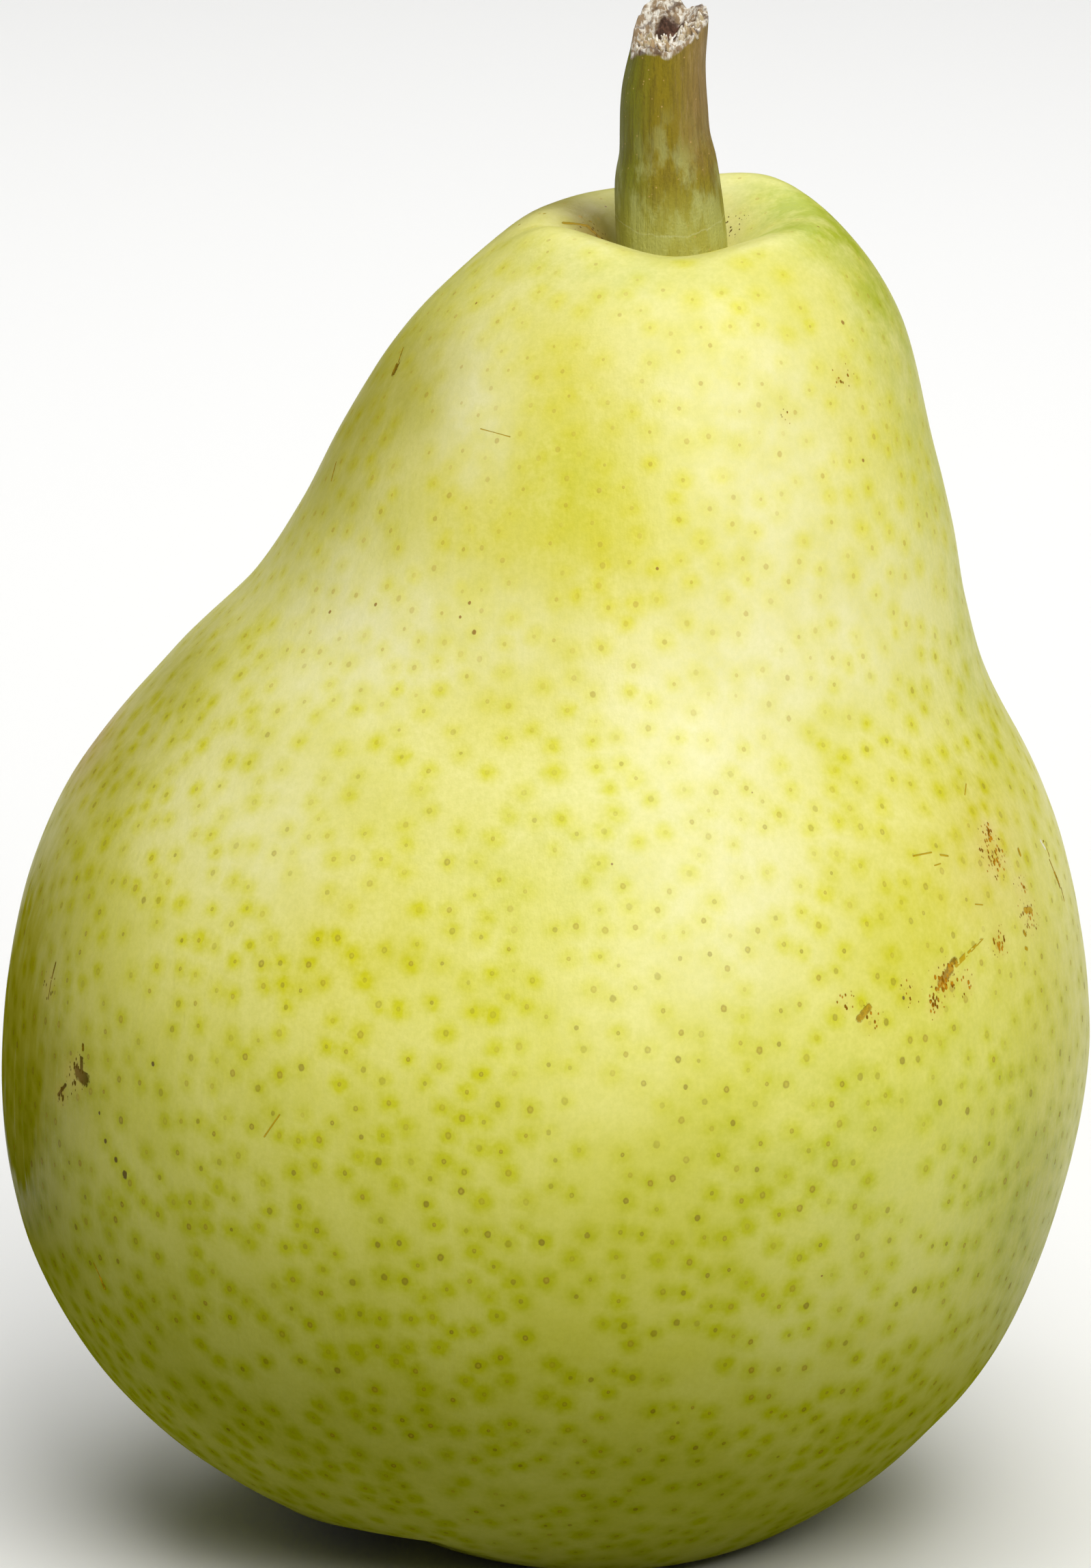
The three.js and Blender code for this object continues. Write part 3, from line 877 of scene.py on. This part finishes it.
def makeFibres():
    # pale tufts of torn wood, all over the front of the torn top
    v = stemValues
    random = np.random.default_rng(v["seed"])
    topRadius = v["outline"][-1][0]
    tufts = []
    for k in range(v["tufts"]):
        turn = random.uniform(*v["tuftTurns"])
        share = random.beta(*v["tuftSpread"]) * v["tuftReach"]
        height = float(tornHeight(np.array([turn]), share)[0][0])
        length, wide = random.uniform(*v["tuftLength"]), random.uniform(*v["tuftWidth"])
        angle = turn * 2 * pi
        out = topRadius * share
        place = np.array([out * cos(angle), out * sin(angle), height - v["tuftSunk"]])
        place[0] += v["bow"][-1]
        deselectAll()
        bpy.ops.mesh.primitive_cone_add(
            vertices=6, radius1=wide * mm, radius2=wide * v["tuftTip"] * mm, depth=length * mm,
            location=tuple((place + v["foot"] + (0, 0, length * 0.3)) * mm),
            rotation=(random.normal(0.25, 0.25), random.normal(0, 0.25), random.uniform(0, 6)),
        )
        bpy.ops.object.mode_set(mode="EDIT")
        bpy.ops.mesh.select_all(action="SELECT")
        bpy.ops.mesh.subdivide(number_cuts=1, smoothness=0.4, fractal=0.6, seed=k)
        bpy.ops.mesh.normals_make_consistent(inside=False)
        bpy.ops.object.mode_set(mode="OBJECT")
        bpy.ops.object.transform_apply(location=True, rotation=True, scale=True)
        tufts.append(bpy.context.object)
    piece = joined(tufts, "tornFibres")
    bpy.ops.object.origin_set(type="ORIGIN_CURSOR")
    bpy.ops.object.shade_smooth()
    print("fibres:", len(piece.data.polygons), "faces")
    return piece


def barkColour(f, side, streak):
    # green at the foot, brown towards the top and the right
    v, c = stemValues, coloursOf(stemValues)
    broad = f.noise(2.2, 3, 0.4)
    across = f.plus(side["X"], f.sway(streak, 1.3 * mm))
    up = f.plus(side["Z"], f.times(broad, 7 * mm))
    high = f.span(f.plus(side["Z"], f.times(broad, 6 * mm)), v["brownHeights"])
    brown = f.times(f.span(across, (-0.3, 2.2)), high)
    leafy = f.span(up, v["leafyHeights"])
    line = f.times(f.rangeOf(streak, 0.46, 0.6), f.rangeOf(leafy, 0, 1, (0.42, 0.16)))
    patch = f.times(f.layer(v, "patch"), f.span(up, v["waxyHeights"]))
    thread = f.times(f.layer(v, "thread"), brown)
    bark = f.mix(f.span(across, (-2.8, -0.6)), c["green"], c["ochre"])
    bark = f.mix(brown, bark, c["brown"])
    bark = f.mix(f.times(leafy, 0.5), bark, c["leafy"])
    bark = f.mix(line, bark, c["line"])
    bark = f.mix(f.times(patch, 0.75), bark, c["waxy"])
    bark = f.mix(f.times(f.span(side["Z"], v["footHeights"]), 0.5), bark, c["foot"])
    return f.mix(f.times(thread, 0.55), bark, c["thread"])


def addCuticle(f, bark, side):
    # thin pale edge round the foot, lowest in front, and pale dots
    v, c = stemValues, coloursOf(stemValues)
    wave = f.times(f.times(side["X"], side["X"]), v["cuticleCurve"] / mm)
    edge = f.math("SUBTRACT", f.math("SUBTRACT", side["Z"], v["cuticleHeight"] * mm), wave)
    edge = f.plus(edge, f.sway(f.noise(1.2, 3), 0.8 * mm))
    thin = f.span(f.math("ABSOLUTE", edge), (0.07, 0.02))
    bark = f.mix(f.times(thin, 0.35), bark, c["cuticle"])
    dots = f.cells(v["dotSize"])
    dot = f.times(f.rangeOf(dots["Distance"], 0.17, 0.08), f.rangeOf(dots["Color"], 0.6, 0.65))
    return f.mix(f.times(dot, 0.6), bark, c["dot"])


def addTornTop(f, bark):
    # pale fibres, brown between them, and dark pith in the middle
    v, c = stemValues, coloursOf(stemValues)
    grain = f.layer(v, "wood")
    wood = f.mix(grain, c["darkWood"], c["wood"])
    wood = f.mix(f.times(f.layer(v, "dirt"), 0.8), wood, c["dirt"])
    pith = f.rangeOf(f.plus(f.attribute("pith"), f.times(f.noise(0.5, 2), 0.3)), 0.6, 0.8)
    wood = f.mix(pith, wood, f.mix(grain, c["pith"], c["palePith"]))
    return f.mix(f.rangeOf(f.attribute("torn"), 0.3, 0.9), bark, wood)


def makeBark():
    v = stemValues
    f = Finish("stemBark")
    side = f.parts(f.vector("SUBTRACT", f.place, [c * mm for c in v["foot"]]))
    streak = f.noise(0.42, 5, 0.07, 0.75)
    bark = addCuticle(f, barkColour(f, side, streak), side)
    relief = f.plus(f.times(streak, v["streakDepth"]), f.times(f.noise(0.2, 2), v["grainDepth"]))
    return f.finished({
        "Base Color": addTornTop(f, bark),
        "Roughness": 0.55,
        "Specular IOR Level": 0.25,
        "Normal": f.bump(relief),
    })


def makeTornWood():
    v, c = stemValues, coloursOf(stemValues)
    f = Finish("tornWood")
    tuft = f.mix(f.layer(v, "darkTuft"), c["tuft"], c["darkTuft"])
    return f.finished({
        "Base Color": f.mix(f.layer(v, "tuft"), c["tuftFoot"], tuft),
        "Roughness": 0.8,
        "Normal": f.bump(f.noise(0.12, 3, 0.3), 0.03),
    })


calyxValues = {
    "cup": [(0, 1.2), (1.5, 1), (1.9, 0), (2.2, -0.5), (1.7, -1.1), (0.9, -0.8), (0, -1)],
    "cupRings": 28,
    "cupSides": 60,
    "height": 4.5,  # over the foot of the fruit's axis
    "seed": 3,
    "sepals": 5,
    "sepalWidth": 2.6,
    "thickness": 0.3,
    "path": [(1, -0.55), (3.4, -0.6), (4.1, -3.4)],  # a sepal's start, bend and tip: way out, height
    "cupping": 0.22,
    "crumple": 0.35,
    "styles": 12,
    "styleLength": 1.7,
    "styleRadii": (0.07, 0.14),  # at the tip and at the foot
    "styleFoot": -0.7,
    "colours": {"dark": "3d2e1c", "dry": "7d6844", "pale": "b5a27c"},
    "layers": {"dry": ((0.8, 4, 1, 0.7), (0.35, 0.65)), "pale": ((0.25, 3), (0.6, 0.75))},
}


def makeSepal(k, random):
    v = calyxValues
    deselectAll()
    bpy.ops.mesh.primitive_grid_add(x_subdivisions=30, y_subdivisions=14, size=2 * mm)
    piece = bpy.context.object
    flat = placesOf(piece)
    along, across = (flat[:, 0] + 1) / 2, flat[:, 1]
    half = v["sepalWidth"] / 2 * np.cos(along * pi / 2) ** 0.7 + 0.1
    half *= 1 + 0.08 * np.sin(along * 23 + k)
    start, bend, end = np.array(v["path"])
    share = along[:, None]
    place = (1 - share) ** 2 * start + 2 * share * (1 - share) * bend + share**2 * end
    ahead = 2 * (1 - share) * (bend - start) + 2 * share * (end - bend)
    ahead /= np.linalg.norm(ahead, axis=1)[:, None]
    side = across * half
    crumple = noiseAt(np.stack([along * 4, side, 0 * side + k], axis=1), 0.8, k) * v["crumple"] * along
    deep = v["cupping"] * side**2 + crumple
    x, z = place[:, 0] - ahead[:, 1] * deep, place[:, 1] + ahead[:, 0] * deep
    turn = 2 * pi * k / v["sepals"] + random.normal(0, 0.06)
    bent = np.stack([x * cos(turn) - side * sin(turn), x * sin(turn) + side * cos(turn), z], axis=1)
    setPlaces(piece, bent)
    thicken = piece.modifiers.new("thickness", "SOLIDIFY")
    thicken.thickness = v["thickness"] * mm
    thicken.offset = 0
    bpy.ops.object.modifier_apply(modifier="thickness")
    return piece


def makeStyle(k, random):
    # one of the dried threads in the middle of the calyx
    v = calyxValues
    turn = 2 * pi * (k + random.uniform(-0.3, 0.3)) / v["styles"]
    out = random.uniform(0.3, 1.1)
    tip, foot = v["styleRadii"]
    deselectAll()
    bpy.ops.mesh.primitive_cone_add(
        vertices=7, radius1=tip * mm, radius2=foot * mm, depth=v["styleLength"] * mm,
        location=(out * cos(turn) * mm, out * sin(turn) * mm, (v["styleFoot"] - v["styleLength"] / 2) * mm),
        rotation=(random.normal(0, 0.25), random.normal(0, 0.25), 0),
    )
    bpy.ops.object.mode_set(mode="EDIT")
    bpy.ops.mesh.subdivide(number_cuts=2, fractal=0.5, seed=k)
    bpy.ops.object.mode_set(mode="OBJECT")
    bpy.ops.object.transform_apply(location=True, rotation=True, scale=True)
    return bpy.context.object


def makeCalyx():
    v = calyxValues
    random = np.random.default_rng(v["seed"])
    parts = [spinOutline("pearCalyx", evenOutline(v["cup"], v["cupRings"]), v["cupSides"])]
    parts += [makeSepal(k, random) for k in range(v["sepals"])]
    parts += [makeStyle(k, random) for k in range(v["styles"])]
    piece = joined(parts, "pearCalyx")
    eyeX, eyeY = fruitValues["eyeShift"]
    own = placesOf(piece) + (eyeX + fruitValues["bow"][0], eyeY, v["height"])
    setPlaces(piece, leaned(own))
    bpy.ops.object.shade_smooth()
    print("calyx:", len(piece.data.polygons), "faces")
    return piece


def makeDriedLeaf():
    v, c = calyxValues, coloursOf(calyxValues)
    f = Finish("driedSepal")
    dry = f.mix(f.layer(v, "dry"), c["dark"], c["dry"])
    return f.finished({
        "Base Color": f.mix(f.layer(v, "pale"), dry, c["pale"]),
        "Roughness": 0.85,
        "Normal": f.bump(f.noise(0.3, 4, roughness=0.7), 0.12),
    })


# metres and degrees here, and millimetres for the lens and its sensor
studioValues = {
    "floor": 3.0,
    "elevation": 15,
    "distance": 1.0,
    "target": (-0.0023, 0, 0.05),
    "lens": 347.6,
    "sensor": 36,
    "clip": (0.05, 20),
    "air": 0.06,
    "colours": {"floor": "f1f1f0", "air": "f4f5f8"},
    # each light: bearing from the front towards the right, elevation, distance, width, height, power,
    # colour, and what it is aimed at where that isn't the camera's target
    "lights": {
        "keyBox": (20, 41, 0.9, 0.6, 0.5, 4.7, "fffdf8", None),
        "topBox": (5, 74, 1.0, 0.9, 0.6, 5.6, "ffffff", None),
        "leftBox": (-97, 34, 0.8, 0.3, 0.6, 0.14, "fdfcff", None),
        "rightBox": (105, 10, 0.8, 0.3, 0.6, 0.45, "fffdf8", None),
        "backLeft": (-150, 12, 0.8, 0.25, 0.6, 0.1, "fdfcff", None),
        "floorBox": (180, 88, 0.4, 0.5, 0.5, 1.4, "ffffff", (0, 0.36, 0)),
    },
}


def addAimed(name, data, bearing, elevation, distance, target):
    # a lamp or a camera that looks at the target
    turn, rise = radians(bearing), radians(elevation)
    back = Vector((sin(turn) * cos(rise), -cos(turn) * cos(rise), sin(rise)))
    thing = bpy.data.objects.new(name, data)
    bpy.context.scene.collection.objects.link(thing)
    thing.location = Vector(target) + back * distance
    thing.rotation_euler = back.to_track_quat("Z", "Y").to_euler()
    return thing


def makeFloor():
    deselectAll()
    bpy.ops.mesh.primitive_plane_add(size=studioValues["floor"])
    floor = bpy.context.object
    floor.name = "paleFloor"
    f = Finish("paleFloor")
    paper = coloursOf(studioValues)["floor"]
    material = f.finished({"Base Color": paper, "Roughness": 0.9, "Specular IOR Level": 0.1})
    floor.data.materials.append(material)


def makeStudio():
    v = studioValues
    makeFloor()
    for name, (bearing, elevation, distance, width, height, power, tint, aim) in v["lights"].items():
        light = bpy.data.lights.new(name, "AREA")
        light.shape = "RECTANGLE"
        light.size, light.size_y = width, height
        light.energy = power
        light.color = colour(tint)[:3]
        addAimed(name, light, bearing, elevation, distance, aim or v["target"])

    world = bpy.data.worlds.new("studioAir")
    world.use_nodes = True
    air = world.node_tree.nodes["Background"].inputs
    air["Color"].default_value = coloursOf(v)["air"]
    air["Strength"].default_value = v["air"]
    bpy.context.scene.world = world

    camera = bpy.data.cameras.new("camera")
    camera.sensor_fit = "VERTICAL"
    camera.sensor_height = v["sensor"]
    camera.lens = v["lens"]
    camera.clip_start, camera.clip_end = v["clip"]
    bpy.context.scene.camera = addAimed("camera", camera, 0, v["elevation"], v["distance"], v["target"])
    bpy.context.scene.view_settings.view_transform = "Standard"
    print("studio: ready")


def fit(piece, node, material):
    piece.data.materials.clear()
    piece.data.materials.append(material)
    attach(piece, "root")
    if node:
        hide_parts(node)


makeStudio()
fruit = makeFruit()
skinSurface = BVHTree.FromObject(fruit, bpy.context.evaluated_depsgraph_get())
paintSpots(fruit, skinSurface)
paintPatches(fruit)
paintMarks(fruit, skinSurface)
fit(fruit, "fruit", makeSkin())
fit(makeStem(), "stem", makeBark())
fit(makeFibres(), None, makeTornWood())
fit(makeCalyx(), "calyx", makeDriedLeaf())
